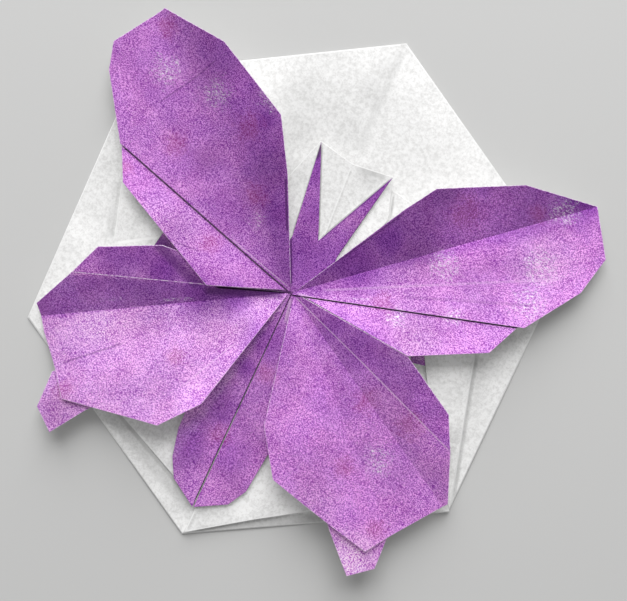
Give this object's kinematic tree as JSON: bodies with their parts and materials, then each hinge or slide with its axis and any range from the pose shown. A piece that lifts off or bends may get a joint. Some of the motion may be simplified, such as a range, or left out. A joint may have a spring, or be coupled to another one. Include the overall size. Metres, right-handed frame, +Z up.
{
  "type": "origami butterfly",
  "caption": "Butterfly folded from one sheet of two-tone paper: purple wings, antennae and abdomen raised from a flat white hexagon.",
  "frame": {"origin": "middle of the flat hexagonal back face", "axes": "+Z up out of the front, +Y from the gathered centre to the hexagon's corner at the head, +X to the butterfly's wing on the right when seen from the front with the head up"},
  "size_m": [0.145, 0.1494, 0.0107],
  "materials": {
    "two_tone_paper": "matte craft paper with a faint pearly grain, purple on one face and white on the other"
  },
  "bodies": {
    "root": {"folded_sheet": "two_tone_paper"}
  },
  "joints": []
}
